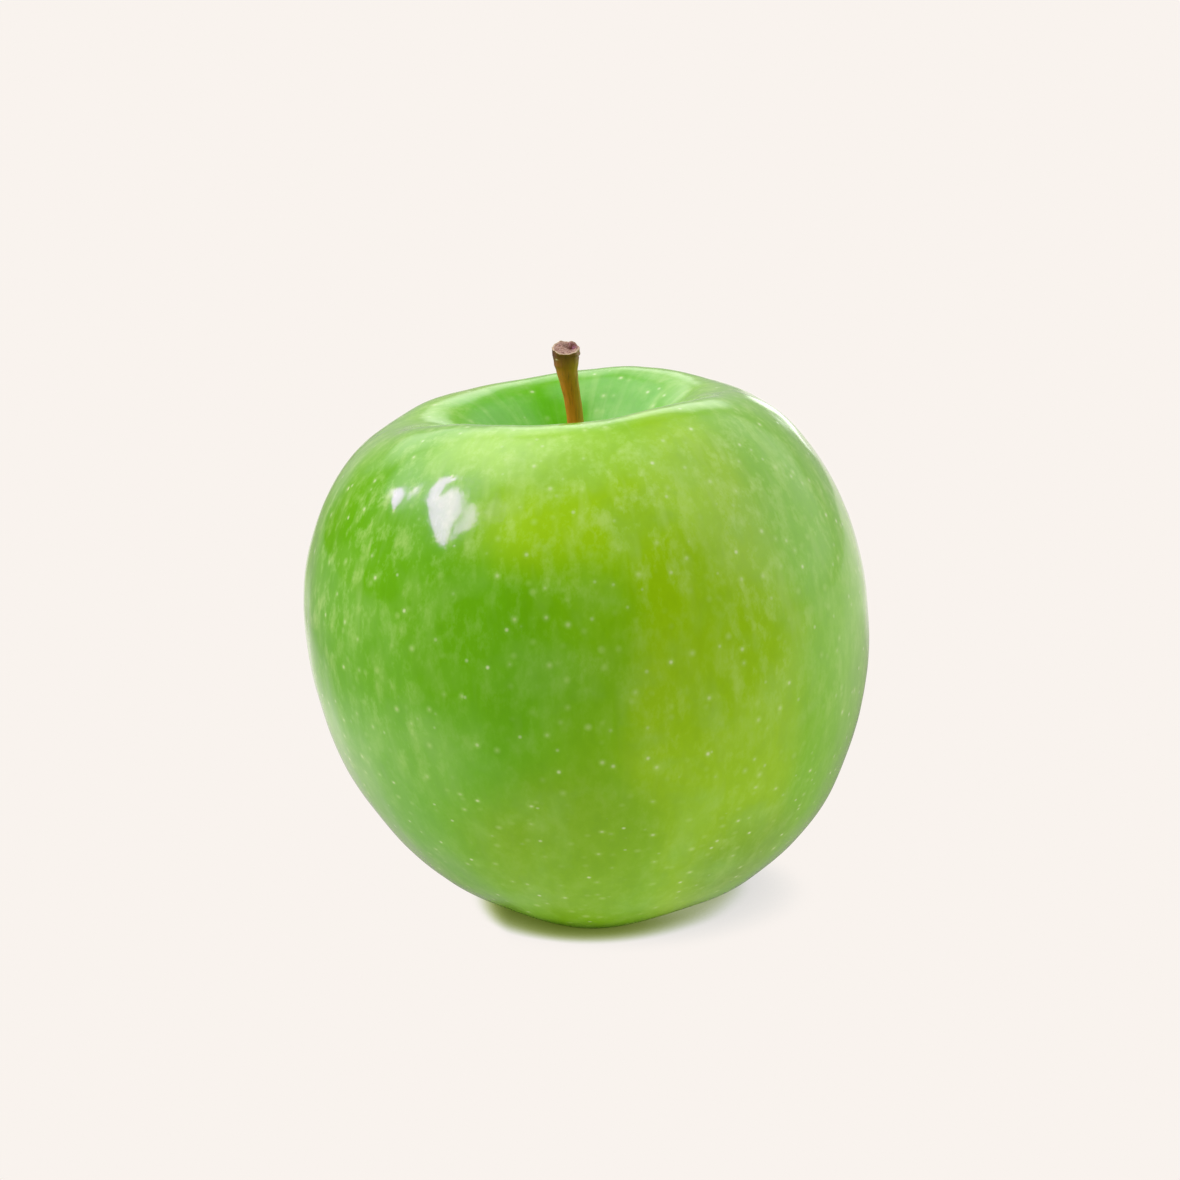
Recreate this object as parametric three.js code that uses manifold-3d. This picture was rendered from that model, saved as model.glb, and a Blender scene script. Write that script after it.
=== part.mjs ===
// A green apple that stands on the blunt feet of its lobes: the fruit, its stem and its dried calyx.
// Millimetres, +Z up. The origin is on the surface under the apple, below the middle of the fruit.
// From -Y the stem leans to the left and the right side of the fruit is the taller one.

import * as THREE from "three";
import { mergeVertices } from "three/addons/utils/BufferGeometryUtils.js";
import Module from "manifold-3d";

const wasm = await Module();
wasm.setup();

const { degToRad, smoothstep } = THREE.MathUtils;

// The round of the fruit, before its hollows and lobes
const EQUATOR_RADIUS = 39.0;
const HALF_HEIGHT = 41.2;
const MID_HEIGHT = 37.3;
const TOP_HEAVY = 0.062; // share by which the stem end is wider than the calyx end
const FULL_ENDS = 0.05; // share by which both ends are wider than an ellipse
const LEAN = -0.074; // shift along X for each millimetre above the middle
const RIGHT_RISE = 0.031; // share by which the right side is taller

// The hollows at both ends: a depth, and the radius at which a third of it is left
const CAVITY_DEPTH = 22.0;
const CAVITY_RADIUS = 14.4;
const BASIN_DEPTH = 12.0;
const BASIN_RADIUS = 9.6;

// The five lobes end in feet around the basin and in low shoulders around the cavity
const FEET = [
  { azimuth: -100, reach: 2.9 },
  { azimuth: -28, reach: 0.6 },
  { azimuth: 44, reach: 2.8 },
  { azimuth: 116, reach: 2.8 },
  { azimuth: 180, reach: 2.5 },
];
const FOOT_SHARPNESS = 4;
const FOOT_POLAR = 30; // degrees from the axis to the crest of the feet
const SHOULDERS = [
  { azimuth: -45, rise: 0.9 },
  { azimuth: 22, rise: -0.4 },
  { azimuth: 67, rise: 0.8 },
  { azimuth: 120, rise: -0.5 },
  { azimuth: 180, rise: -2.3 },
];
const SHOULDER_SHARPNESS = 7;
const SHOULDER_POLAR = 27;
const FURROW = 0.2; // share of each lobe's height by which the furrows beside it sink in
const RIB = 0.23; // bulge of a lobe's flank for each millimetre of its foot
const RIB_POLAR = 120;
const RIB_SPREAD = 32;

const FRUIT_SEGMENTS = 72;
const FRUIT_RINGS = 46;
const POLE_FINENESS = 0.22; // crowds the rings towards both hollows

// The stem: its middle line and radius, from its root in the flesh to its torn head
const STEM = [
  { at: [-1.4, 0.0, 52.5], radius: 1.5 },
  { at: [-1.43, 0.0, 56.0], radius: 1.4 },
  { at: [-1.5, -0.1, 59.5], radius: 1.15 },
  { at: [-1.6, -0.2, 63.5], radius: 1.1 },
  { at: [-1.8, -0.4, 67.5], radius: 1.11 },
  { at: [-2.15, -0.6, 70.5], radius: 1.16 },
  { at: [-2.62, -0.9, 73.1], radius: 1.28 },
  { at: [-2.95, -1.1, 74.9], radius: 1.5 },
  { at: [-3.05, -1.3, 76.5], radius: 1.74 },
  { at: [-3.1, -1.5, 78.0], radius: 1.91 },
];
const STEM_STEPS = 30;
const STEM_SIDES = 20;
const HEAD_RINGS = 5; // rings of faces on the torn end
const HEAD_START = 0.9; // share of the stem's length at which the torn end's slope begins to show
const HEAD_TILT = 0.28; // slope of the torn end, down towards -Y
const SPLINTERS = [
  { at: [-0.7, 1.5], rise: 0.4 },
  { at: [0.9, 1.5], rise: 0.45 },
  { at: [0.7, 0.6], rise: -0.8 }, // the pit where the vessels tore out
];
const SPLINTER_RADIUS = 0.6;

// The calyx: a cup let into the flesh, with five sepals and the stamens
const CUP_TOP = 10.4;
const CUP_HEIGHT = 4.2;
const CUP_RADIUS = 4.2;
const CUP_WALL = 1.0;
const CUP_SIDES = 40;
const SEPALS = 5;
const SEPAL_WIDTH = 3.6;
const SEPAL_TIP_WIDTH = 0.8;
const SEPAL_THICKNESS = 0.7;
const SEPAL_CUPPING = 0.5; // how far a sepal's long edges curl inwards
const SEPAL_LINE = [
  [3.6, 7.2],
  [3.3, 5.5],
  [3.6, 4.1],
  [4.8, 3.2],
  [6.4, 2.9],
]; // from the cup's wall to the tip: distance from the axis and height
const STAMENS = 13;
const STAMEN_RADIUS = 0.35;
const STAMEN_LENGTH = 4.6;
const STAMEN_SPREAD = 0.5;
const STAMEN_SPLAY = 7; // degrees of lean for each millimetre from the middle
const GOLDEN_ANGLE = 137.508;

const GAP = 0.3; // left between pieces that touch
const SMALL = 1e-4; // vertices closer than this are one

const FRUIT_SKIN = new THREE.MeshStandardMaterial({ color: 0x7dbb1e, roughness: 0.28, metalness: 0 });
const STEM_BARK = new THREE.MeshStandardMaterial({ color: 0x7b5c12, roughness: 0.7, metalness: 0 });
const DRIED_CALYX = new THREE.MeshStandardMaterial({ color: 0x5b4630, roughness: 0.85, metalness: 0 });

// Solids and meshes

function solid(geometry) {
  geometry.deleteAttribute("normal");
  geometry.deleteAttribute("uv");
  const merged = mergeVertices(geometry, SMALL);
  return new wasm.Manifold(
    new wasm.Mesh({
      numProp: 3,
      vertProperties: new Float32Array(merged.attributes.position.array),
      triVerts: new Uint32Array(merged.index.array),
    }),
  );
}

function piece(name, body, material) {
  const { vertProperties, triVerts } = body.getMesh();
  const geometry = new THREE.BufferGeometry();
  geometry.setAttribute("position", new THREE.BufferAttribute(vertProperties, 3));
  geometry.setIndex(new THREE.BufferAttribute(triVerts, 1));
  geometry.computeVertexNormals();
  const mesh = new THREE.Mesh(geometry, material);
  mesh.name = name;
  return mesh;
}

// Moves every vertex of a geometry to where place() puts it.
function reshape(geometry, place) {
  const positions = geometry.attributes.position;
  const vertex = new THREE.Vector3();
  for (let i = 0; i < positions.count; i += 1) {
    vertex.fromBufferAttribute(positions, i);
    positions.setXYZ(i, ...place(vertex));
  }
  return geometry;
}

// The fruit

// Where the fruit's axis is at a height.
function axisAt(height) {
  return [LEAN * (height - MID_HEIGHT), 0];
}

// One at the peak angle, nothing at zero and far past the peak.
function crest(angle, peak) {
  const ratio = (angle / degToRad(peak)) ** 2;
  return ratio * Math.exp(1 - ratio);
}

// One at a lobe's own azimuth, and a little under zero in the furrows.
function bell(azimuth, lobe, sharpness) {
  return Math.exp(sharpness * (Math.cos(azimuth - degToRad(lobe.azimuth)) - 1)) - FURROW;
}

// The skin at an azimuth about the axis and a polar angle from the stem end: an ellipse of revolution with
// fuller ends, a bell-shaped hollow at each end, and the lobes added to its height and its flanks.
function skinPoint(azimuth, polar) {
  const upward = Math.cos(polar);
  let radius = EQUATOR_RADIUS * Math.sin(polar) * (1 + TOP_HEAVY * upward + FULL_ENDS * upward ** 2);
  let height = MID_HEIGHT + HALF_HEIGHT * upward;
  if (upward > 0) height -= CAVITY_DEPTH * Math.exp(-((radius / CAVITY_RADIUS) ** 2));
  else height += BASIN_DEPTH * Math.exp(-((radius / BASIN_RADIUS) ** 2));

  const flank = Math.exp(-(((polar - degToRad(RIB_POLAR)) / degToRad(RIB_SPREAD)) ** 2));
  for (const foot of FEET) {
    const share = foot.reach * bell(azimuth, foot, FOOT_SHARPNESS);
    height -= share * crest(Math.PI - polar, FOOT_POLAR);
    radius += share * RIB * flank;
  }
  for (const shoulder of SHOULDERS) {
    height += shoulder.rise * bell(azimuth, shoulder, SHOULDER_SHARPNESS) * crest(polar, SHOULDER_POLAR);
  }

  height *= 1 + (RIGHT_RISE * Math.cos(azimuth) * radius) / EQUATOR_RADIUS;
  height = Math.max(height, 0); // each foot is blunt where it stands
  const [x, y] = axisAt(height);
  return [x + radius * Math.cos(azimuth), y + radius * Math.sin(azimuth), height];
}

function fruitBody() {
  const ball = new THREE.SphereGeometry(1, FRUIT_SEGMENTS, FRUIT_RINGS).rotateX(Math.PI / 2);
  return solid(
    reshape(ball, (vertex) => {
      const polar = Math.acos(THREE.MathUtils.clamp(vertex.z, -1, 1));
      const crowded = polar - POLE_FINENESS * Math.sin(2 * polar);
      return skinPoint(Math.atan2(vertex.y, vertex.x), crowded);
    }),
  );
}

// The stem

// The slope, splinters and pit of the torn end, at a place on it.
function tornHeight(x, y) {
  let height = HEAD_TILT * y;
  for (const { at, rise } of SPLINTERS) {
    const distance = Math.hypot(x - at[0], y - at[1]);
    height += rise * Math.exp(-((distance / SPLINTER_RADIUS) ** 2));
  }
  return height;
}

// A lathe whose profile height is a step along the stem, which is then set on the middle line. The grown
// stem is the hole that it stands in.
function stemBody(grow = 0) {
  const line = new THREE.CatmullRomCurve3(STEM.map(({ at }) => new THREE.Vector3(...at)));
  const girth = new THREE.SplineCurve(STEM.map(({ radius }) => new THREE.Vector2(radius, 0)));
  const profile = [new THREE.Vector2(0, 0)];
  for (let step = 0; step <= STEM_STEPS; step += 1) {
    profile.push(new THREE.Vector2(girth.getPoint(step / STEM_STEPS).x + grow, step));
  }
  const headRadius = profile.at(-1).x;
  for (let ring = 1; ring <= HEAD_RINGS; ring += 1) {
    profile.push(new THREE.Vector2(headRadius * (1 - ring / HEAD_RINGS), STEM_STEPS));
  }
  const lathe = new THREE.LatheGeometry(profile, STEM_SIDES).rotateX(Math.PI / 2);
  return solid(
    reshape(lathe, ({ x, y, z }) => {
      const step = Math.round(z);
      const along = step / STEM_STEPS;
      const centre = line.getPoint(along);
      const torn = smoothstep(along, HEAD_START, 1) * tornHeight(x, y);
      const sunk = step === 0 ? grow : 0;
      return [centre.x + x, centre.y + y, centre.z + torn - sunk];
    }),
  );
}

// The calyx

function cup() {
  const rim = CUP_TOP - CUP_HEIGHT;
  const inner = CUP_RADIUS - CUP_WALL;
  const profile = [
    [0, CUP_TOP],
    [inner, CUP_TOP],
    [CUP_RADIUS, CUP_TOP - CUP_WALL],
    [CUP_RADIUS, rim],
    [inner, rim],
    [inner, CUP_TOP - 2 * CUP_WALL],
    [0, CUP_TOP - CUP_WALL],
  ].map(([radius, height]) => new THREE.Vector2(radius, height));
  return solid(new THREE.LatheGeometry(profile.reverse(), CUP_SIDES).rotateX(Math.PI / 2));
}

// A slab bent along the sepal's line, narrowed to its tip, with its long edges curled.
function sepal(azimuth) {
  const line = new THREE.SplineCurve(SEPAL_LINE.map((point) => new THREE.Vector2(...point)));
  const blade = new THREE.BoxGeometry(1, 1, 1, 6, 1, 12);
  reshape(blade, ({ x, y, z }) => {
    const along = z + 0.5;
    const centre = line.getPoint(along);
    const { x: outward, y: upward } = line.getTangent(along);
    const width = SEPAL_TIP_WIDTH + (SEPAL_WIDTH - SEPAL_TIP_WIDTH) * Math.sqrt(1 - along ** 2);
    const offset = y * SEPAL_THICKNESS - SEPAL_CUPPING * (2 * x) ** 2;
    return [centre.x - offset * upward, x * width, centre.y + offset * outward];
  });
  return solid(blade.rotateZ(azimuth));
}

function stamen(index) {
  const distance = STAMEN_SPREAD * Math.sqrt(index);
  const hair = new THREE.CylinderGeometry(STAMEN_RADIUS, STAMEN_RADIUS, STAMEN_LENGTH, 6);
  hair.rotateX(Math.PI / 2).translate(0, 0, -STAMEN_LENGTH / 2);
  hair.rotateY(-degToRad(STAMEN_SPLAY * distance)).translate(distance, 0, CUP_TOP - CUP_WALL / 2);
  return solid(hair.rotateZ(index * degToRad(GOLDEN_ANGLE)));
}

function calyxBody() {
  let calyx = cup();
  for (let i = 0; i < SEPALS; i += 1) {
    calyx = calyx.add(sepal((2 * Math.PI * i) / SEPALS));
  }
  for (let i = 0; i < STAMENS; i += 1) {
    calyx = calyx.add(stamen(i));
  }
  return calyx;
}

// The hole that the calyx cup is let into, open to the basin.
function calyxPocket() {
  const radius = CUP_RADIUS + GAP;
  const plug = new THREE.CylinderGeometry(radius, radius, CUP_TOP, CUP_SIDES).rotateX(Math.PI / 2);
  return solid(plug.translate(0, 0, CUP_TOP / 2 + GAP));
}

// The apple

const [calyxX, calyxY] = axisAt(CUP_TOP);
const flesh = fruitBody()
  .subtract(stemBody(GAP))
  .subtract(calyxPocket().translate([calyxX, calyxY, 0]));

const fruit = piece("fruit", flesh, FRUIT_SKIN);
const stem = piece("stem", stemBody(), STEM_BARK);
const calyx = piece("calyx", calyxBody(), DRIED_CALYX);
calyx.position.set(calyxX, calyxY, 0);

const apple = new THREE.Group();
apple.add(fruit, stem, calyx);

export default apple;
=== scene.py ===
import math

import bpy
import numpy as np
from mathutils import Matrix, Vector


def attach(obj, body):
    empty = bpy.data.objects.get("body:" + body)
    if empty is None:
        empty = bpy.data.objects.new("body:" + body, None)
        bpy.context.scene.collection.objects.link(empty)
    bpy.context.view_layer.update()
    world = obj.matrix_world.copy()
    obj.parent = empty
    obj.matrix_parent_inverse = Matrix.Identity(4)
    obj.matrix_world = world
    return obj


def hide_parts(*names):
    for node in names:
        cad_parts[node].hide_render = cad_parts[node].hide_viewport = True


# A green apple on its feet: waxed skin, woody stem with a torn end, dried calyx. Numbers are in millimetres
# and degrees unless a name says otherwise. From -Y the stem leans to the left.

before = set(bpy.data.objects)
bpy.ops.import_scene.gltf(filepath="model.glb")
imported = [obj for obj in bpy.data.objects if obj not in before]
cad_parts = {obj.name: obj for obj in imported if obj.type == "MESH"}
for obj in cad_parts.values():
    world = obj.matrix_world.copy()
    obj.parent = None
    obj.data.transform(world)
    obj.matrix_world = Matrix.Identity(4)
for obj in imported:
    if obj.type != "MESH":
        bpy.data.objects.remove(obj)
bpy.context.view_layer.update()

METRES = 0.001

# The round of the fruit, its hollows, feet and shoulders, as the solids of the frame have them
EQUATOR_RADIUS = 39.0
HALF_HEIGHT = 41.2
MID_HEIGHT = 37.3
TOP_HEAVY = 0.062
FULL_ENDS = 0.05
LEAN = -0.074
RIGHT_RISE = 0.031
CAVITY_DEPTH = 22.0
CAVITY_RADIUS = 14.4
BASIN_DEPTH = 12.0
BASIN_RADIUS = 9.6
FEET = [(-100, 2.9), (-28, 0.6), (44, 2.8), (116, 2.8), (180, 2.5)]  # azimuth, reach
FOOT_SHARPNESS = 4
FOOT_POLAR = 30
SHOULDERS = [(-45, 0.9), (22, -0.4), (67, 0.8), (120, -0.5), (180, -2.3)]  # azimuth, rise
SHOULDER_SHARPNESS = 7
SHOULDER_POLAR = 27
FURROW = 0.2
RIB = 0.23
RIB_POLAR = 120
RIB_SPREAD = 32
POLE_FINENESS = 0.22

SKIN_AROUND = 384
SKIN_RINGS = 248
WELL_DEPTH = 2.6  # of the narrow well that the calyx cup fills, and its radius
WELL_RADIUS = 4.3
UNEVENNESS = 0.05  # spread of the slow swells of the skin, and of the finer ones
FINE_UNEVENNESS = 0.008

# The stem's middle line and radius, from its root to its torn end
STEM_LINE = [
    (-1.4, 0.0, 52.5), (-1.43, 0.0, 56.0), (-1.5, -0.1, 59.5), (-1.6, -0.2, 63.5), (-1.8, -0.4, 67.5),
    (-2.15, -0.6, 70.5), (-2.62, -0.9, 73.1), (-2.95, -1.1, 74.9), (-3.05, -1.3, 76.5), (-3.1, -1.5, 78.0),
]
STEM_GIRTH = [1.5, 1.4, 1.15, 1.1, 1.11, 1.16, 1.28, 1.5, 1.74, 1.91]
STEM_LENGTH = 25.7
STEM_AROUND = 192
STEM_RINGS = 300
HEAD_RINGS = 48
HEAD_START = 0.9
HEAD_TILT = 0.28
SPLINTERS = [(-0.7, 1.4, 0.25), (0.9, 1.4, 0.3), (0.7, 0.6, -0.8)]  # place on the torn end, rise
SPLINTER_RADIUS = 0.6
FIBRE_RISE = 0.05
LIP_RISE = 0.06
PIT = (1.05, 0.75)
PIT_RADIUS = 0.85
RIDGES = [(5, 3, 0.035), (8, -5, 0.022), (13, 9, 0.012)]  # how many round the stem, how far they wind, height
RING_RISE = 0.03  # of the slow swellings along the stem, and how close they are
RINGS_TURN = 46
KNOTS = [  # share of the length, azimuth, rise, length, angle
    (0.944, -12, 0.12, 0.5, 35), (0.918, -8, -0.2, 0.18, 26), (0.6, 110, 0.12, 0.9, 30), (0.82, 200, 0.08, 0.6, 40),
    (0.7, -60, 0.04, 0.7, 30), (0.35, 10, 0.12, 1.0, 40),
]
PAINTED_GLINT_PLACE = (0.895, -139, 0.16, 9)  # of the painted glint on the bark: a cream spot that stands in for a small highlight

# The calyx
CUP_TOP = 10.4
CUP_HEIGHT = 4.2
CUP_RADIUS = 4.2
CUP_WALL = 1.0
SEPALS = 5
SEPAL_WIDTH = 3.6
SEPAL_TIP_WIDTH = 0.8
SEPAL_THICKNESS = 0.6
SEPAL_CUPPING = 0.5
SEPAL_LINE = [(3.6, 0.0, 7.2), (3.3, 0.0, 5.5), (3.6, 0.0, 4.1), (4.8, 0.0, 3.2), (6.4, 0.0, 2.9)]
STAMENS = 13
STAMEN_LENGTH = 4.6
STAMEN_SPREAD = 0.5
STAMEN_SPLAY = 7
STAMEN_GIRTH = [0.24, 0.2, 0.18, 0.17, 0.3, 0.38, 0.2]
SEPAL_RIB = 0.12
CALYX_ROUGHNESS = 0.07
GOLDEN_ANGLE = 137.508

# The camera of the photograph
CAMERA_PLACE = (0.0, -569.2, 169.4)
CAMERA_AIM = (0.2, 0.0, 43.9)
LENS = 128.4

# The colours of the skin: the ground, and patches with the azimuth and polar angle of their middle, half their
# width, how many times taller they are, how wide their edge is, and their colour
GROUND = "83BE04"
MILK = "D8F098"
HAZE = "92C656"
SHADE_FLECK = "C8D6C8"
PORE = "DCEBB4"
PORE_SPACING = 2.3
LOW_SKIN = 24.0  # height under which the pores are flattened, and how much
LOW_FLATTENING = 0.5
PATCHES = [
    ("deep left front", -131, 88, 25, 1.5, 10, "6AB202"),
    ("olive band", -60, 92, 14, 3.2, 3, "9ACA04"),
    ("low front", -98, 128, 18, 0.8, 9, "80B406"),
    # Pale shoulder: paler green, partly its own and partly a painted sheen of the light from above
    ("pale shoulder", -88, 53, 17, 0.5, 9, "A2D212"),
    # Pale brow: a painted sheen along the front lip of the stem hollow, over paler green
    ("pale brow", -100, 40, 19, 0.36, 8, "A2D444"),
    ("leaf green right", -25, 80, 12, 3.0, 6, "82C218"),
    ("low right", -50, 130, 11, 0.9, 7, "7EAF06"),
    ("olive back", 128, 80, 18, 2.5, 7, "92BC0C"),
    # Deep cavity: darker green in the stem hollow, partly its own and partly painted shade
    ("deep cavity", 90, 0, 70, 0.28, 16, "62B804"),
]
MOTTLED = (-138, 66, 18, 1.8, 12)  # places with more mottling than elsewhere, and with less
CALM = (-100, 98, 13, 1.6, 8)
STEM_HOLLOW = "A3A84A"  # colours of the skin round the stem and in the basin, and how far they reach
STEM_HOLLOW_REACH = 9
BASIN = "A9CF5C"
BASIN_REACH = 15

# The colours of the stem up its length, by share of the length, and of its torn end
BARK = [(0.4, "DC7E10"), (0.62, "D67C10"), (0.76, "BC7810"), (0.86, "965E10"), (0.93, "744210"), (1.0, "80500F")]
OLIVE_SIDE = "AE8E08"
DARK_SIDE = "5A2A1C"
GREY_SIDE = "A8845C"
STREAK = "5E3E0A"
# A cream spot on the bark that is a painted highlight
PAINTED_GLINT = "E2D2A4"
TORN_WOOD = "A8826F"
TORN_FIBRE = "7C5644"
# A painted highlight round the rim of the torn end
TORN_RIM_HIGHLIGHT = "C6AC8C"
TORN_PIT = "64200F"

# The colours of the dried calyx
SEPAL_BROWN = "6B5236"
SEPAL_FELT = "A39A7C"
SEPAL_DARK = "33251A"

# The studio: bright panels round the fruit, with black cloth on the camera's side. Each has an azimuth from
# the camera's side, an elevation, the angles at which it is full and faded out, and a radiance.
PAPER = "F9F3EE"
PANELS = [
    ("upper left", -112, 56, 10, 34, 2.7),
    ("upper back left", -156, 35, 8, 22, 1.8),
    ("upper back", 176, 28, 3, 17, 1.9),
    ("back", 165, 8, 35, 55, 0.45),
    ("edge of the back", 168, 2, 2, 7, 2.6),
    ("right", 105, 38, 28, 48, 1.3),
]
FLOOR_LIGHT = 1.3  # how bright the floor is to the skin that it lights
CONTACT = 3.4  # how far the dark line of the fruit's painted shadow on the floor reaches, and its soft edge
SHADE = 10
SHADE_TOWARDS = (-45, 60)

# The window that the gloss mirrors: the outline of each pane as azimuths from the camera's side and elevations,
# with its radiance
WINDOW_TOWARDS = (-76, 41)
PANE_COLOUR = "E8B2FF"
PANES = [
    (20, [(-90, 54), (-95, 51), (-99, 47), (-100, 42), (-99, 38), (-94, 35), (-87, 34), (-80, 33), (-74, 31),
          (-70, 30), (-65, 31), (-67, 34), (-69, 37), (-70, 41), (-72, 44), (-75, 47), (-80, 50), (-82, 48),
          (-82, 44), (-84, 42), (-87, 45), (-87, 48), (-86, 52)]),
    (14, [(-71, 47), (-70, 44), (-68, 41), (-67, 37), (-65, 34), (-62, 34), (-58, 37), (-57, 41), (-61, 44)]),
    (18, [(-110, 28), (-114, 30), (-114, 33), (-110, 36), (-105, 35), (-102, 32), (-101, 28)]),
    (2.5, [(-60, 54), (-50, 52), (-49, 45), (-55, 42), (-58, 48)]),
]


# Surfaces as arrays of points


def crest(angle, peak):
    """One at the peak angle, nothing at zero and far past it: x times e to the 1 - x, x being the ratio squared."""
    ratio = (angle / math.radians(peak)) ** 2
    return ratio * np.exp(1 - ratio)


def bell(azimuth, at, sharpness):
    """One at a lobe's own azimuth, under zero in its furrows: e to the sharpness times (cosine - 1), less the furrow."""
    return np.exp(sharpness * (np.cos(azimuth - math.radians(at)) - 1)) - FURROW


def skin(azimuth, polar):
    """The skin at an azimuth and a polar angle from the stem end: an ellipse of revolution with fuller ends, a
    bell-shaped hollow at each end, then the lobes added to its height and flanks, a lean and a taller right side."""
    upward = np.cos(polar)
    radius = EQUATOR_RADIUS * np.sin(polar) * (1 + TOP_HEAVY * upward + FULL_ENDS * upward**2)
    hollow = np.where(
        upward > 0,
        -CAVITY_DEPTH * np.exp(-((radius / CAVITY_RADIUS) ** 2)),
        BASIN_DEPTH * np.exp(-((radius / BASIN_RADIUS) ** 2)) + WELL_DEPTH * np.exp(-((radius / WELL_RADIUS) ** 8)),
    )
    height = MID_HEIGHT + HALF_HEIGHT * upward + hollow
    flank = np.exp(-(((polar - math.radians(RIB_POLAR)) / math.radians(RIB_SPREAD)) ** 2))
    for at, reach in FEET:
        share = reach * bell(azimuth, at, FOOT_SHARPNESS)
        height = height - share * crest(math.pi - polar, FOOT_POLAR)
        radius = radius + share * RIB * flank
    for at, rise in SHOULDERS:
        height = height + rise * bell(azimuth, at, SHOULDER_SHARPNESS) * crest(polar, SHOULDER_POLAR)
    height = height * (1 + RIGHT_RISE * np.cos(azimuth) * radius / EQUATOR_RADIUS)
    height = np.maximum(height, 0)
    x = LEAN * (height - MID_HEIGHT) + radius * np.cos(azimuth)
    return np.stack([x, radius * np.sin(azimuth), height], axis=-1)


def normals(surface, u, v, step=1e-3):
    """Unit normals of a surface of two parameters: the cross product of its slopes along the second and first."""
    along_u = surface(u + step, v) - surface(u - step, v)
    along_v = surface(u, v + step) - surface(u, v - step)
    across = np.cross(along_v, along_u)
    return across / np.linalg.norm(across, axis=-1, keepdims=True)


def waves(points, shortest, longest, count, seed):
    """A smooth random field of unit spread: the sum of plane sine waves with random directions and lengths."""
    draw = np.random.default_rng(seed)
    total = np.zeros(points.shape[:-1])
    for _ in range(count):
        direction = draw.normal(size=3)
        direction /= np.linalg.norm(direction)
        turns = points @ direction / draw.uniform(shortest, longest)
        total += np.sin(2 * math.pi * (turns + draw.uniform()))
    return total * math.sqrt(2 / count)


def smooth_line(points, along):
    """A Catmull-Rom curve through points evenly spaced in its parameter, at shares of its length from 0 to 1."""
    points = np.asarray(points, float)
    padded = np.concatenate([[2 * points[0] - points[1]], points, [2 * points[-1] - points[-2]]])
    place = np.clip(np.asarray(along) * (len(points) - 1), 0, len(points) - 1 - 1e-9)
    start = place.astype(int)
    part = (place - start).reshape(place.shape + (1,) * (points.ndim - 1))
    before, here, there, after = (padded[start + step] for step in range(4))
    return 0.5 * (
        2 * here
        + (there - before) * part
        + (2 * before - 5 * here + 4 * there - after) * part**2
        + (3 * here - before - 3 * there + after) * part**3
    )


def smooth_step(value, low, high):
    """Nothing below low, one above high, and a cubic ease between."""
    part = np.clip((value - low) / (high - low), 0, 1)
    return part * part * (3 - 2 * part)


# Meshes


def shell(rings, first, last):
    """A closed surface of rings of points between two poles, counterclockwise seen from the first pole."""
    count, around = rings.shape[:2]
    points = np.concatenate([rings.reshape(-1, 3), [first], [last]])
    here = np.arange(count * around).reshape(count, around)
    beside = np.roll(here, -1, axis=1)
    quads = np.stack([here[:-1], here[1:], beside[1:], beside[:-1]], axis=-1).reshape(-1, 4)
    first_fan = np.stack([np.full(around, count * around), here[0], beside[0]], axis=-1)
    last_fan = np.stack([np.full(around, count * around + 1), beside[-1], here[-1]], axis=-1)
    return points, quads.tolist() + first_fan.tolist() + last_fan.tolist()


def join(shells):
    """Several closed surfaces as one list of points and faces."""
    points = []
    faces = []
    for more_points, more_faces in shells:
        start = sum(map(len, points))
        points.append(more_points)
        faces += [[start + corner for corner in face] for face in more_faces]
    return np.concatenate(points), faces


def piece(name, surface, material, **attributes):
    """An object at the origin whose smooth mesh is in place, with an attribute on its points for each named array."""
    points, faces = surface
    mesh = bpy.data.meshes.new(name)
    mesh.from_pydata((points * METRES).tolist(), [], faces)
    for key, values in attributes.items():
        kind, field = ("FLOAT_VECTOR", "vector") if values.ndim == 2 else ("FLOAT", "value")
        mesh.attributes.new(key, kind, "POINT").data.foreach_set(field, values.astype(np.float32).ravel())
    mesh.shade_smooth()
    mesh.materials.append(material)
    made = bpy.data.objects.new(name, mesh)
    bpy.context.scene.collection.objects.link(made)
    return made


def grown_place(azimuth, polar):
    """Where a place on the skin is on a cylinder unrolled from it, whose height is the way from the stem."""
    return EQUATOR_RADIUS * np.cos(azimuth), EQUATOR_RADIUS * np.sin(azimuth), EQUATOR_RADIUS * polar


def stands_for(made, node):
    """The piece takes a node's place on the one body of the frame."""
    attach(made, "root")
    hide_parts(node)


# Materials


def linear(colour):
    """An sRGB hex colour as linear red, green, blue and alpha."""
    shares = [int(colour[i : i + 2], 16) / 255 for i in (0, 2, 4)]
    return [c / 12.92 if c <= 0.04045 else ((c + 0.055) / 1.055) ** 2.4 for c in shares] + [1]


def node(tree, kind, inputs=(), **settings):
    """Adds a shader node with its settings, and sets or links each input that a mapping names or numbers."""
    made = tree.nodes.new("ShaderNode" + kind)
    for key, value in settings.items():
        setattr(made, key, value)
    for key, value in dict(inputs).items():
        if isinstance(value, bpy.types.NodeSocket):
            tree.links.new(value, made.inputs[key])
        else:
            made.inputs[key].default_value = value
    return made


def new_material(name):
    """A material with its node tree and its Principled shader."""
    made = bpy.data.materials.new(name)
    made.use_nodes = True
    return made, made.node_tree, made.node_tree.nodes["Principled BSDF"]


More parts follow.
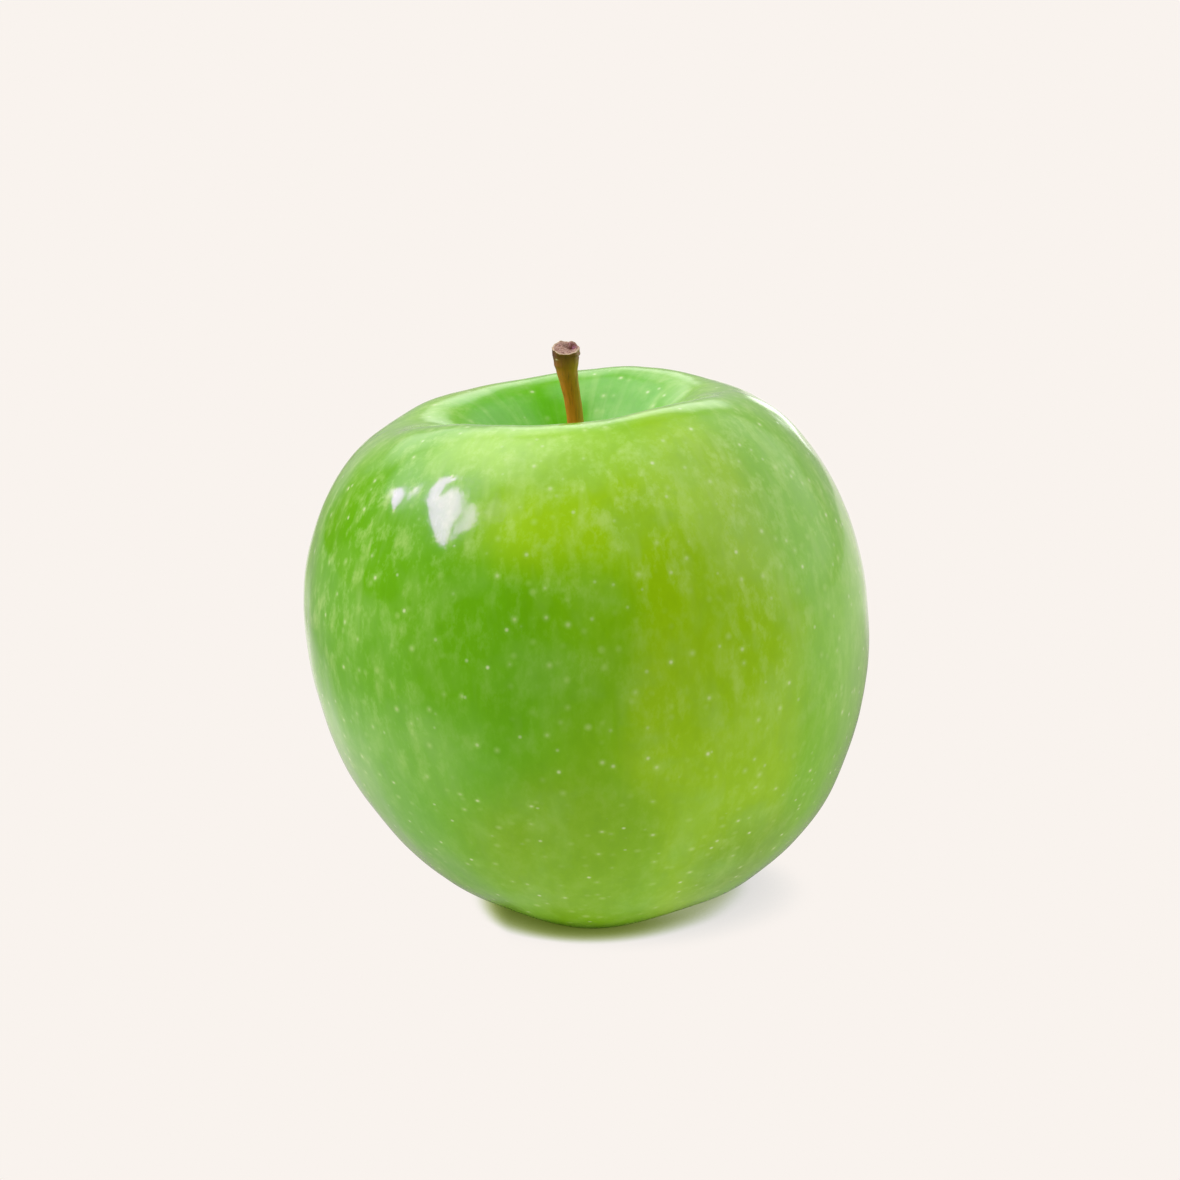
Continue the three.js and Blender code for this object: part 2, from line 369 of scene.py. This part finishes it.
def patch(tree, way, azimuth, polar, half_width, stretch, edge):
    """The share of a patch of the skin round a place, taller than wide, that fades out over its edge."""
    centre = np.array(grown_place(math.radians(azimuth), math.radians(polar))) * METRES
    offset = node(tree, "VectorMath", {0: way, 1: centre.tolist()}, operation="SUBTRACT").outputs[0]
    offset = node(tree, "VectorMath", {0: offset, 1: (1, 1, 1 / stretch)}, operation="MULTIPLY").outputs[0]
    distance = node(tree, "VectorMath", {0: offset}, operation="LENGTH").outputs["Value"]
    return node(tree, "MapRange", {
        0: distance, 1: (half_width + edge) * METRES, 2: (half_width - edge) * METRES,
    }, interpolation_type="SMOOTHSTEP").outputs[0]


def mix(tree, share, below, above):
    """The colour socket of a mix from one colour to another, each a socket or an sRGB hex value."""
    below, above = (linear(c) if isinstance(c, str) else c for c in (below, above))
    return node(tree, "Mix", {0: share, 6: below, 7: above}, data_type="RGBA").outputs[2]


def ramp(made, stops):
    """Gives a colour ramp node its stops, each a place and an sRGB hex colour."""
    steps = made.color_ramp.elements
    for at, _ in stops[1:-1]:
        steps.new(at)
    for step, (at, colour) in zip(steps, stops):
        step.position = at
        step.color = linear(colour)


def scaled(tree, share, factor):
    """A share times a factor, each a socket or a number."""
    return node(tree, "Math", {0: share, 1: factor}, operation="MULTIPLY").outputs[0]


def waxed_skin():
    # The skin of a green apple is a clear waxy film over green cells: deep colour from below, one sharp gloss
    # on top, pale flecks along its growth and pores that show as pale dots.
    made, tree, shader = new_material("waxed_apple_skin")
    place = node(tree, "TexCoord").outputs["Object"]
    way = node(tree, "Attribute", attribute_name="grown").outputs["Vector"]

    drift = node(tree, "TexNoise", {"Vector": place, "Scale": 1 / (18 * METRES), "Detail": 2.0}).outputs["Color"]
    drift = node(tree, "VectorMath", {0: drift, 1: (0.5, 0.5, 0.5)}, operation="SUBTRACT").outputs[0]
    drift = node(tree, "VectorMath", {0: drift, 3: 12 * METRES}, operation="SCALE").outputs[0]
    drifted = node(tree, "VectorMath", {0: way, 1: drift}, operation="ADD").outputs[0]
    colour = linear(GROUND)
    # Some patches paint light: the pale shoulder and pale brow add a painted sheen, the deep cavity a painted shade
    for _, azimuth, polar, half_width, stretch, edge, tint in PATCHES:
        colour = mix(tree, patch(tree, drifted, azimuth, polar, half_width, stretch, edge), colour, tint)

    # Where the skin nears the stem it turns to russet, and pale where it nears the calyx
    grown = node(tree, "SeparateXYZ", {0: drifted}).outputs[2]
    russet = node(tree, "MapRange", {0: grown, 1: STEM_HOLLOW_REACH * METRES, 2: 0}).outputs[0]
    colour = mix(tree, russet, colour, STEM_HOLLOW)
    end = EQUATOR_RADIUS * math.pi
    pale = node(tree, "MapRange", {0: grown, 1: (end - BASIN_REACH) * METRES, 2: end * METRES}).outputs[0]
    colour = mix(tree, pale, colour, BASIN)

    # Milky clouds, a soft mottling of paler and deeper green, and pale flecks drawn out along the growth
    cloud = node(tree, "TexNoise", {"Vector": drifted, "Scale": 1 / (9 * METRES), "Detail": 4.0}).outputs[0]
    cloud = node(tree, "MapRange", {0: cloud, 1: 0.5, 2: 0.75, 4: 0.4}).outputs[0]
    colour = mix(tree, cloud, colour, HAZE)
    squat = node(tree, "Mapping", {"Vector": place, "Scale": (1, 1, 0.6)}).outputs[0]
    cells = node(tree, "TexNoise", {
        "Vector": squat, "Scale": 1 / (2.2 * METRES), "Detail": 4.0, "Roughness": 0.68,
    }).outputs[0]
    deeper = node(tree, "MapRange", {0: cells, 1: 0.52, 2: 0.34, 4: 0.16}).outputs[0]
    paler = node(tree, "MapRange", {0: cells, 1: 0.49, 2: 0.7}).outputs[0]
    along = node(tree, "Mapping", {"Vector": way, "Scale": (1, 1, 0.3)}).outputs[0]
    fleck = node(tree, "TexNoise", {"Vector": along, "Scale": 1 / (2.6 * METRES), "Detail": 2.0}).outputs[0]
    fleck = node(tree, "MapRange", {0: fleck, 1: 0.53, 2: 0.72, 4: 0.5}).outputs[0]
    spread = node(tree, "TexNoise", {"Vector": drifted, "Scale": 1 / (12 * METRES), "Detail": 3.0}).outputs[0]
    spread = node(tree, "MapRange", {0: spread, 1: 0.36, 2: 0.66, 3: 0.05, 4: 0.18}).outputs[0]
    mottled = scaled(tree, patch(tree, drifted, *MOTTLED), 0.05)
    spread = node(tree, "Math", {0: spread, 1: mottled}, operation="ADD").outputs[0]
    height = node(tree, "SeparateXYZ", {0: place}).outputs[2]
    upwards = node(tree, "MapRange", {0: height, 1: 15 * METRES, 2: 65 * METRES, 3: 0.6, 4: 2.1}).outputs[0]
    spread = scaled(tree, spread, upwards)
    _, *hollow, _ = PATCHES[-1]
    hollow = patch(tree, way, *hollow)
    spread = scaled(tree, spread, node(tree, "MapRange", {0: hollow, 3: 1.0, 4: 0.3}).outputs[0])
    calm = patch(tree, drifted, *CALM)
    spread = scaled(tree, spread, node(tree, "MapRange", {0: calm, 3: 1.0, 4: 0.55}).outputs[0])
    colour = node(tree, "Mix", {
        0: deeper, 6: colour, 7: linear(SHADE_FLECK),
    }, data_type="RGBA", blend_type="MULTIPLY").outputs[2]
    colour = mix(tree, scaled(tree, paler, spread), colour, MILK)
    colour = mix(tree, scaled(tree, fleck, spread), colour, MILK)

    # Pale rays in the hollow round the stem
    ray = node(tree, "Mapping", {"Vector": way, "Scale": (1, 1, 0.3)}).outputs[0]
    ray = node(tree, "TexNoise", {"Vector": ray, "Scale": 1 / (5 * METRES), "Detail": 3.0}).outputs[0]
    ray = node(tree, "MapRange", {0: ray, 1: 0.5, 2: 0.7, 4: 0.15}).outputs[0]
    colour = mix(tree, scaled(tree, ray, hollow), colour, MILK)

    # Pores, each of its own strength, flattened to dashes low on the fruit
    x, y, z = node(tree, "SeparateXYZ", {0: place}).outputs
    low = node(tree, "Math", {0: z, 1: LOW_SKIN * METRES}, operation="MINIMUM").outputs[0]
    z = node(tree, "Math", {0: low, 1: LOW_FLATTENING, 2: z}, operation="MULTIPLY_ADD").outputs[0]
    flattened = node(tree, "CombineXYZ", {0: x, 1: y, 2: z}).outputs[0]
    pore = node(tree, "TexVoronoi", {"Vector": flattened, "Scale": 1 / (PORE_SPACING * METRES)}).outputs
    chance = node(tree, "SeparateXYZ", {0: pore["Color"]}).outputs
    chance = [node(tree, "MapRange", {0: chance[way], 1: 0.05, 2: 0.95}).outputs[0] for way in range(2)]
    halo = node(tree, "MapRange", {0: pore["Distance"], 1: 0.34, 2: 0.04}, interpolation_type="SMOOTHSTEP").outputs[0]
    core = node(tree, "MapRange", {0: pore["Distance"], 1: 0.17, 2: 0.02}, interpolation_type="SMOOTHSTEP").outputs[0]
    colour = mix(tree, scaled(tree, halo, scaled(tree, chance[0], 0.25)), colour, MILK)
    colour = mix(tree, scaled(tree, core, scaled(tree, chance[1], 0.8)), colour, PORE)

    grain = node(tree, "TexNoise", {"Vector": place, "Scale": 1 / (0.9 * METRES), "Detail": 2.0}).outputs[0]
    relief = node(tree, "Math", {0: scaled(tree, grain, 0.6), 1: core}, operation="ADD").outputs[0]
    bump = node(tree, "Bump", {"Height": relief, "Strength": 0.35, "Distance": 0.05 * METRES}).outputs[0]
    shader.inputs["Roughness"].default_value = 0.45
    shader.inputs["IOR"].default_value = 1.45
    shader.inputs["Specular IOR Level"].default_value = 0.1
    shader.inputs["Coat Weight"].default_value = 0.95
    shader.inputs["Coat IOR"].default_value = 1.45
    shader.inputs["Coat Roughness"].default_value = 0.1
    tree.links.new(bump, shader.inputs["Normal"])
    tree.links.new(bump, shader.inputs["Coat Normal"])
    tree.links.new(colour, shader.inputs["Base Color"])
    return made


def stem_bark():
    # A young stem is woody: brown bark streaked along its length, olive on its right side low down,
    # and at the end where it tore off the branch pale pinkish fibres with a dark pit. A thin cream ring
    # round the rim of that end is a painted highlight, and so is a cream spot on the bark.
    made, tree, shader = new_material("young_apple_bark")
    place = node(tree, "TexCoord").outputs["Object"]
    along, side, inwards, pit, painted_glint = (
        node(tree, "Attribute", attribute_name=key).outputs["Fac"] for key in ("along", "side", "inwards", "pit", "painted_glint")
    )
    colour = node(tree, "ValToRGB", {0: along})
    ramp(colour, BARK)
    colour = colour.outputs[0]
    high = node(tree, "MapRange", {0: along, 1: 0.84, 2: 0.94}).outputs[0]
    low = node(tree, "Math", {0: 1.0, 1: high}, operation="SUBTRACT").outputs[0]
    rightwards = node(tree, "MapRange", {0: side, 1: 0.1, 2: 0.8}).outputs[0]
    leftmost = node(tree, "MapRange", {0: side, 1: -0.75, 2: -0.95}).outputs[0]
    rightmost = node(tree, "MapRange", {0: side, 1: 0.6, 2: 0.85}).outputs[0]
    colour = mix(tree, scaled(tree, rightwards, scaled(tree, low, 0.75)), colour, OLIVE_SIDE)
    colour = mix(tree, scaled(tree, leftmost, scaled(tree, high, 0.75)), colour, DARK_SIDE)
    colour = mix(tree, scaled(tree, rightmost, scaled(tree, high, 0.6)), colour, GREY_SIDE)
    drawn = node(tree, "Mapping", {"Vector": place, "Scale": (1, 1, 0.12)}).outputs[0]
    streak = node(tree, "TexNoise", {"Vector": drawn, "Scale": 1 / (0.35 * METRES), "Detail": 4.0}).outputs[0]
    dark = node(tree, "MapRange", {0: streak, 1: 0.52, 2: 0.75, 4: 0.5}).outputs[0]
    colour = mix(tree, dark, colour, STREAK)
    # A cream spot on the bark, a painted highlight
    colour = mix(tree, painted_glint, colour, PAINTED_GLINT)

    fibre = node(tree, "TexNoise", {"Vector": place, "Scale": 1 / (0.3 * METRES), "Detail": 4.0}).outputs[0]
    wood = mix(tree, node(tree, "MapRange", {0: fibre, 1: 0.45, 2: 0.62}).outputs[0], TORN_WOOD, TORN_FIBRE)
    # A thin cream ring along the rim of the torn end, a painted highlight
    edge = node(tree, "MapRange", {0: inwards, 1: 0.3 * METRES, 2: 0.16 * METRES}).outputs[0]
    wood = mix(tree, edge, wood, TORN_RIM_HIGHLIGHT)
    wood = mix(tree, pit, wood, TORN_PIT)
    torn = node(tree, "MapRange", {0: inwards, 1: -0.06 * METRES, 2: 0.02 * METRES}).outputs[0]
    colour = mix(tree, torn, colour, wood)
    relief = mix(tree, torn, streak, fibre)
    bump = node(tree, "Bump", {"Height": relief, "Strength": 0.7, "Distance": 0.1 * METRES}).outputs[0]
    shader.inputs["Roughness"].default_value = 0.5
    shader.inputs["IOR"].default_value = 1.5
    tree.links.new(bump, shader.inputs["Normal"])
    tree.links.new(colour, shader.inputs["Base Color"])
    return made


def dried_sepal():
    # Dried sepals are brown, felted with short pale hairs and darker in patches: rough, without any gloss.
    made, tree, shader = new_material("dried_felted_sepal")
    place = node(tree, "TexCoord").outputs["Object"]
    patchy = node(tree, "TexNoise", {"Vector": place, "Scale": 1 / (1.4 * METRES), "Detail": 4.0}).outputs[0]
    patchy = node(tree, "MapRange", {0: patchy, 1: 0.4, 2: 0.62}).outputs[0]
    hairs = node(tree, "TexNoise", {"Vector": place, "Scale": 1 / (0.22 * METRES), "Detail": 3.0}).outputs[0]
    felt = node(tree, "MapRange", {0: hairs, 1: 0.5, 2: 0.66, 4: 0.75}).outputs[0]
    colour = mix(tree, patchy, SEPAL_BROWN, SEPAL_DARK)
    colour = mix(tree, felt, colour, SEPAL_FELT)
    bump = node(tree, "Bump", {"Height": hairs, "Strength": 0.8, "Distance": 0.12 * METRES}).outputs[0]
    shader.inputs["Roughness"].default_value = 0.9
    shader.inputs["IOR"].default_value = 1.45
    tree.links.new(bump, shader.inputs["Normal"])
    tree.links.new(colour, shader.inputs["Base Color"])
    return made


# The fruit


def make_skin():
    azimuth, even = np.meshgrid(
        2 * math.pi * np.arange(SKIN_AROUND) / SKIN_AROUND,
        math.pi * np.arange(1, SKIN_RINGS + 1) / (SKIN_RINGS + 1),
    )
    polar = even - POLE_FINENESS * np.sin(2 * even)
    rings = skin(azimuth, polar)
    uneven = UNEVENNESS * waves(rings, 7, 18, 24, seed=4) + FINE_UNEVENNESS * waves(rings, 3, 6, 24, seed=5)
    clear_of_floor = smooth_step(rings[..., 2], 0.3, 4)
    rings = rings + normals(skin, azimuth, polar) * (uneven * clear_of_floor)[..., None]
    first, last = skin(np.zeros(2), np.array([0, math.pi]))
    grown = np.stack(grown_place(azimuth, polar), axis=-1).reshape(-1, 3)
    poles = [(0, 0, 0), (0, 0, EQUATOR_RADIUS * math.pi)]
    grown = np.concatenate([grown, poles]) * METRES
    made = piece("apple_skin", shell(rings, first, last), waxed_skin(), grown=grown)
    stands_for(made, "fruit")


# The stem


def torn_height(x, y):
    """The slope of the torn end, with a bell for each splinter, and fibres standing in it."""
    height = HEAD_TILT * y
    for at_x, at_y, rise in SPLINTERS:
        height = height + rise * np.exp(-(np.hypot(x - at_x, y - at_y) / SPLINTER_RADIUS) ** 2)
    return height + FIBRE_RISE * waves(np.stack([x, y, 0 * x], axis=-1), 0.5, 1.1, 24, seed=8)


def knot_share(azimuth, along, share, at, length, spread):
    """A bell of a length and an angle round a place of the bark."""
    turn = np.sin((azimuth - math.radians(at)) / 2) * 2 / math.radians(spread)
    return np.exp(-(((along - share) * STEM_LENGTH / length) ** 2) - turn**2 - 4 * (np.cos(azimuth - math.radians(at)) < 0))


def bark_height(azimuth, along):
    """Ridges that wind a little up the stem, as sines of the azimuth, and a bell for each knot."""
    height = RING_RISE * np.sin(along * RINGS_TURN) * np.sin(along * RINGS_TURN * 0.37 + 1)
    for count, twist, rise in RIDGES:
        height = height + rise * np.sin(count * azimuth + twist * along) * np.cos(twist * along * 1.7 + count)
    for share, at, rise, length, spread in KNOTS:
        height = height + rise * knot_share(azimuth, along, share, at, length, spread)
    return height


def make_stem():
    azimuth = 2 * math.pi * np.arange(STEM_AROUND) / STEM_AROUND
    along = np.concatenate([np.ones(HEAD_RINGS - 1), np.linspace(1, 0, STEM_RINGS)])
    inset = np.concatenate([np.arange(1, HEAD_RINGS) / HEAD_RINGS, np.ones(STEM_RINGS)])
    azimuth, along = np.meshgrid(azimuth, along)
    inset = inset[:, None]
    rim = smooth_line(STEM_GIRTH, along) + bark_height(azimuth, along)
    x = rim * inset * np.cos(azimuth)
    y = rim * inset * np.sin(azimuth)
    lip = LIP_RISE * smooth_step(inset, 0.82, 0.96) * (1 - 0.6 * smooth_step(inset, 0.96, 1))
    torn = smooth_step(along, HEAD_START, 1) ** 2 * torn_height(x, y) + (along == 1) * lip
    rings = smooth_line(STEM_LINE, along) + np.stack([x, y, torn], axis=-1)
    first = np.array(STEM_LINE[-1]) + [0, 0, torn_height(np.zeros(1), np.zeros(1))[0]]
    inwards = (1 - inset) * rim - (1 - along) * STEM_LENGTH
    pit = (along == 1) * np.exp(-(np.hypot(x - PIT[0], y - PIT[1]) / PIT_RADIUS) ** 2)
    painted_glint = knot_share(azimuth, along, *PAINTED_GLINT_PLACE)
    ends = {"along": (1, 0), "side": (0, 0), "inwards": (STEM_GIRTH[-1], -STEM_LENGTH), "pit": (0, 0), "painted_glint": (0, 0)}
    values = {"along": along, "side": np.cos(azimuth), "inwards": inwards, "pit": pit, "painted_glint": painted_glint}
    values = {key: np.concatenate([values[key].ravel(), ends[key]]) for key in values}
    values["inwards"] = values["inwards"] * METRES
    made = piece("stem_wood", shell(rings, first, STEM_LINE[0]), stem_bark(), **values)
    stands_for(made, "stem")


# The calyx


def rough(points, height, shortest, longest, seed):
    """The points moved by three smooth random fields, one for each way."""
    moves = [waves(points, shortest, longest, 24, seed + way) for way in range(3)]
    return points + height * np.stack(moves, axis=-1)


def cup_shell():
    profile = np.array([
        (CUP_RADIUS - CUP_WALL, CUP_TOP), (CUP_RADIUS, CUP_TOP - CUP_WALL), (CUP_RADIUS, CUP_TOP - CUP_HEIGHT),
        (CUP_RADIUS - CUP_WALL, CUP_TOP - CUP_HEIGHT), (CUP_RADIUS - CUP_WALL, CUP_TOP - 2 * CUP_WALL),
    ])
    profile = smooth_line(profile, np.linspace(0, 1, 60))
    azimuth = 2 * math.pi * np.arange(96) / 96
    radius, height = profile[:, :1], profile[:, 1:]
    rings = np.stack([radius * np.cos(azimuth), radius * np.sin(azimuth), height + 0 * azimuth], axis=-1)
    rings = rough(rings, CALYX_ROUGHNESS, 0.9, 2.5, seed=20)
    return shell(rings, (0, 0, CUP_TOP), (0, 0, CUP_TOP - CUP_WALL))


def sepal_shell(azimuth, draw):
    """A slab bent along the sepal's line, narrowed to its tip, with curled edges, a midrib and shrivelled folds."""
    around = 2 * math.pi * np.arange(64) / 64
    along = np.linspace(0, 1, 80)[:, None]
    line = np.array(SEPAL_LINE) * [1 + draw.uniform(-0.06, 0.06), 1, 1]
    line[-2:, 2] += draw.uniform(-0.4, 0.5)
    centre = smooth_line(line, along[:, 0])
    slope = np.gradient(centre, axis=0)
    slope /= np.linalg.norm(slope, axis=-1, keepdims=True)
    width = SEPAL_TIP_WIDTH + (SEPAL_WIDTH - SEPAL_TIP_WIDTH) * np.sqrt(1 - along**2)
    across = np.cos(around) / 2
    curl = SEPAL_CUPPING * draw.uniform(0.7, 1.4)
    midrib = SEPAL_RIB * np.exp(-((across / 0.12) ** 2)) * (np.sin(around) > 0)
    offset = np.sin(around) * SEPAL_THICKNESS / 2 + midrib - curl * (2 * across) ** 2
    outward = centre[:, :1] - offset * slope[:, 2:]
    upward = centre[:, 2:] + offset * slope[:, :1]
    sideways = across * width + draw.uniform(-0.5, 0.5) * along**2
    turned = np.stack([
        outward * math.cos(azimuth) - sideways * math.sin(azimuth),
        outward * math.sin(azimuth) + sideways * math.cos(azimuth),
        upward,
    ], axis=-1)
    turned = rough(turned, CALYX_ROUGHNESS, 0.8, 2.2, seed=int(draw.integers(1000)))
    return shell(turned, turned[0].mean(axis=0), turned[-1].mean(axis=0))


def stamen_shell(index, draw):
    """A thin bent stalk down from the cup, leaning more the farther out it stands, with a swollen end."""
    around = 2 * math.pi * np.arange(12) / 12
    along = np.linspace(0, 1, 30)[:, None]
    distance = STAMEN_SPREAD * math.sqrt(index)
    azimuth = math.radians(GOLDEN_ANGLE) * index
    length = STAMEN_LENGTH * draw.uniform(0.8, 1.0)
    outward = distance + math.sin(math.radians(STAMEN_SPLAY * distance)) * length * along
    outward = outward + draw.uniform(-0.3, 0.3) * along**2
    sideways = draw.uniform(-0.4, 0.4) * along**2
    radius = smooth_line(STAMEN_GIRTH, along)
    rings = np.stack([
        outward * math.cos(azimuth) - sideways * math.sin(azimuth) + radius * np.cos(around),
        outward * math.sin(azimuth) + sideways * math.cos(azimuth) + radius * np.sin(around),
        CUP_TOP - CUP_WALL / 2 - length * along + 0 * around,
    ], axis=-1)
    return shell(rings, rings[0].mean(axis=0), rings[-1].mean(axis=0))


def make_calyx():
    draw = np.random.default_rng(11)
    shells = [cup_shell()]
    for i in range(SEPALS):
        shells.append(sepal_shell(2 * math.pi * i / SEPALS, draw))
    for i in range(STAMENS):
        shells.append(stamen_shell(i, draw))
    points, faces = join(shells)
    points = points + [LEAN * (CUP_TOP - MID_HEIGHT), 0, 0]
    made = piece("dried_calyx", (points, faces), dried_sepal())
    stands_for(made, "calyx")


# The studio


def direction(azimuth, elevation):
    """The unit vector at an azimuth from the camera's side, rightwards, and an elevation."""
    a, e = math.radians(azimuth), math.radians(elevation)
    return (math.sin(a) * math.cos(e), -math.cos(a) * math.cos(e), math.sin(e))


def softbox(name, towards, width, height, radiance, colour="FFFFFF", distance=1500, lit=True, mirrored=True):
    """A rectangular light that faces the fruit from a direction, as bright as its radiance says."""
    data = bpy.data.lights.new(name, "AREA")
    data.shape = "RECTANGLE"
    data.size = width * METRES
    data.size_y = height * METRES
    data.energy = radiance * math.pi * data.size * data.size_y
    data.color = linear(colour)[:3]
    made = bpy.data.objects.new(name, data)
    bpy.context.scene.collection.objects.link(made)
    back = Vector(towards).normalized()
    made.location = Vector((0, 0, MID_HEIGHT * METRES)) + back * distance * METRES
    made.rotation_mode = "QUATERNION"
    made.rotation_quaternion = back.to_track_quat("Z", "Y")
    made.visible_diffuse = lit
    made.visible_glossy = mirrored
    return made


def make_studio():
    scene = bpy.context.scene
    scene.view_settings.view_transform = "Standard"
    world = bpy.data.worlds.new("studio")
    scene.world = world
    world.use_nodes = True
    tree = world.node_tree
    towards = node(tree, "TexCoord").outputs["Generated"]
    light = 0.0
    for _, azimuth, elevation, full, faded, radiance in PANELS:
        panel = node(tree, "VectorMath", {0: towards, 1: direction(azimuth, elevation)}, operation="DOT_PRODUCT")
        share = node(tree, "MapRange", {
            0: panel.outputs["Value"], 1: math.cos(math.radians(faded)), 2: math.cos(math.radians(full)), 4: radiance,
        }, interpolation_type="SMOOTHSTEP").outputs[0]
        light = node(tree, "Math", {0: light, 1: share}, operation="MAXIMUM").outputs[0]
    seen = node(tree, "LightPath").outputs["Is Camera Ray"]
    colour = node(tree, "Mix", {0: seen, 6: linear("FFFFFF"), 7: linear(PAPER)}, data_type="RGBA").outputs[2]
    strength = node(tree, "Mix", {0: seen, 2: light, 3: 1.0}).outputs[0]
    paper = tree.nodes["Background"]
    tree.links.new(colour, paper.inputs["Color"])
    tree.links.new(strength, paper.inputs["Strength"])

    mesh = bpy.data.meshes.new("floor")
    half = 3.0
    mesh.from_pydata([(-half, -half, 0), (half, -half, 0), (half, half, 0), (-half, half, 0)], [], [(0, 1, 2, 3)])
    mesh.materials.append(paper_with_painted_shadow())
    floor = bpy.data.objects.new("floor", mesh)
    scene.collection.objects.link(floor)

    softbox("window", direction(*WINDOW_TOWARDS), 480, 480, 13.3, mirrored=False)
    softbox("overhead", direction(0, 80), 1150, 1150, 1.3, mirrored=False)
    make_panes()


def paper_with_painted_shadow():
    # The floor is white paper that glows instead of being lit, and lights the skin by its glow. Its colour
    # holds a painted shadow right beside the fruit, green from the skin, made from ambient occlusion and faded
    # out to the left and partly to the right. In the gloss it shows a painted reflection: dark on the camera's
    # side, where the black cloth hangs over it, and brighter to the left.
    made, tree, shader = new_material("paper_with_painted_shadow")
    x, y, _ = node(tree, "SeparateXYZ", {0: node(tree, "TexCoord").outputs["Object"]}).outputs
    near = node(tree, "AmbientOcclusion", {"Distance": CONTACT * METRES}, samples=8).outputs["AO"]
    to_light = node(tree, "CombineXYZ", dict(enumerate(direction(*SHADE_TOWARDS)))).outputs[0]
    wide = node(tree, "AmbientOcclusion", {"Distance": SHADE * METRES, "Normal": to_light}, samples=8).outputs["AO"]
    lit_left = node(tree, "MapRange", {0: x, 1: -10.5 * METRES, 2: -18.5 * METRES}, interpolation_type="SMOOTHSTEP").outputs[0]
    lit_right = node(tree, "MapRange", {0: x, 1: -4 * METRES, 2: 20 * METRES, 4: 0.3}).outputs[0]
    near = node(tree, "Math", {0: near, 1: lit_right}, operation="ADD").outputs[0]
    near = node(tree, "Math", {0: near, 1: lit_left}, operation="ADD").outputs[0]
    wide = node(tree, "Math", {0: wide, 1: lit_left}, operation="ADD").outputs[0]
    # The painted shadow: olive where the fruit meets the floor, paling to the paper, with a faint grey further out
    near = node(tree, "ValToRGB", {0: near})
    ramp(near, [(0.0, "5A6A1A"), (0.35, "8C9850"), (0.6, "C0C69C"), (0.8, "E4E4D6"), (1.0, PAPER)])
    wide = node(tree, "ValToRGB", {0: wide})
    ramp(wide, [(0.0, "D0D4D6"), (0.3, "E8ECEE"), (0.65, "FFFFFF")])
    colour = node(tree, "Mix", {
        0: 1.0, 6: near.outputs["Color"], 7: wide.outputs["Color"],
    }, data_type="RGBA", blend_type="MULTIPLY").outputs[2]
    # A painted reflection of the floor for the gloss, dark on the camera's side and brighter to the left and behind
    left = node(tree, "MapRange", {0: x, 1: -0.02, 2: -0.07, 3: 0.35, 4: 1.1}).outputs[0]
    far_left = node(tree, "MapRange", {0: x, 1: -0.12, 2: -0.07, 3: 0.35, 4: 1.0}).outputs[0]
    right = node(tree, "MapRange", {0: x, 1: 0.06, 2: 0.2, 4: 0.6}).outputs[0]
    sideways = node(tree, "Math", {0: left, 1: far_left, 2: right}, operation="MULTIPLY_ADD").outputs[0]
    backwards = node(tree, "MapRange", {0: y, 1: -0.09, 2: -0.03}, interpolation_type="SMOOTHSTEP").outputs[0]
    behind = node(tree, "MapRange", {0: y, 1: 0.08, 2: 0.2}).outputs[0]
    behind = scaled(tree, behind, node(tree, "MapRange", {0: x, 1: -0.2, 2: -0.1}).outputs[0])
    mirrored = node(tree, "Math", {0: scaled(tree, sideways, backwards), 1: behind}, operation="MAXIMUM").outputs[0]
    rays = node(tree, "LightPath").outputs
    strength = node(tree, "Mix", {0: rays["Is Camera Ray"], 2: FLOOR_LIGHT, 3: 1.0}).outputs[0]
    strength = node(tree, "Mix", {0: rays["Is Glossy Ray"], 2: strength, 3: mirrored}).outputs[0]
    glow = node(tree, "Emission", {"Color": colour, "Strength": strength})
    tree.links.new(glow.outputs[0], tree.nodes["Material Output"].inputs["Surface"])
    made.cycles.emission_sampling = "NONE"
    return made


def make_panes(distance=6000):
    """The panes of the window, flat and far away, that only the gloss mirrors."""
    points = []
    faces = []
    for _, outline in PANES:
        faces.append(range(len(points), len(points) + len(outline)))
        points += [direction(*corner) for corner in outline]
    mesh = bpy.data.meshes.new("panes")
    mesh.from_pydata((np.array(points) * distance * METRES + [0, 0, MID_HEIGHT * METRES]).tolist(), [], faces)
    radiances = [radiance for radiance, _ in PANES]
    mesh.attributes.new("radiance", "FLOAT", "FACE").data.foreach_set("value", radiances)
    made, tree, shader = new_material("window_daylight")
    radiance = node(tree, "Attribute", attribute_name="radiance").outputs["Fac"]
    glow = node(tree, "Emission", {"Color": linear(PANE_COLOUR), "Strength": radiance})
    tree.links.new(glow.outputs[0], tree.nodes["Material Output"].inputs["Surface"])
    mesh.materials.append(made)
    panes = bpy.data.objects.new("panes", mesh)
    bpy.context.scene.collection.objects.link(panes)
    panes.visible_camera = False
    panes.visible_diffuse = False
    panes.visible_shadow = False


def make_camera():
    data = bpy.data.cameras.new("photograph")
    data.lens = LENS
    data.sensor_width = 36
    made = bpy.data.objects.new("photograph", data)
    bpy.context.scene.collection.objects.link(made)
    made.location = Vector(CAMERA_PLACE) * METRES
    made.rotation_mode = "QUATERNION"
    made.rotation_quaternion = (Vector(CAMERA_AIM) - Vector(CAMERA_PLACE)).to_track_quat("-Z", "Y")
    bpy.context.scene.camera = made


make_camera()
make_skin()
make_stem()
make_calyx()
make_studio()
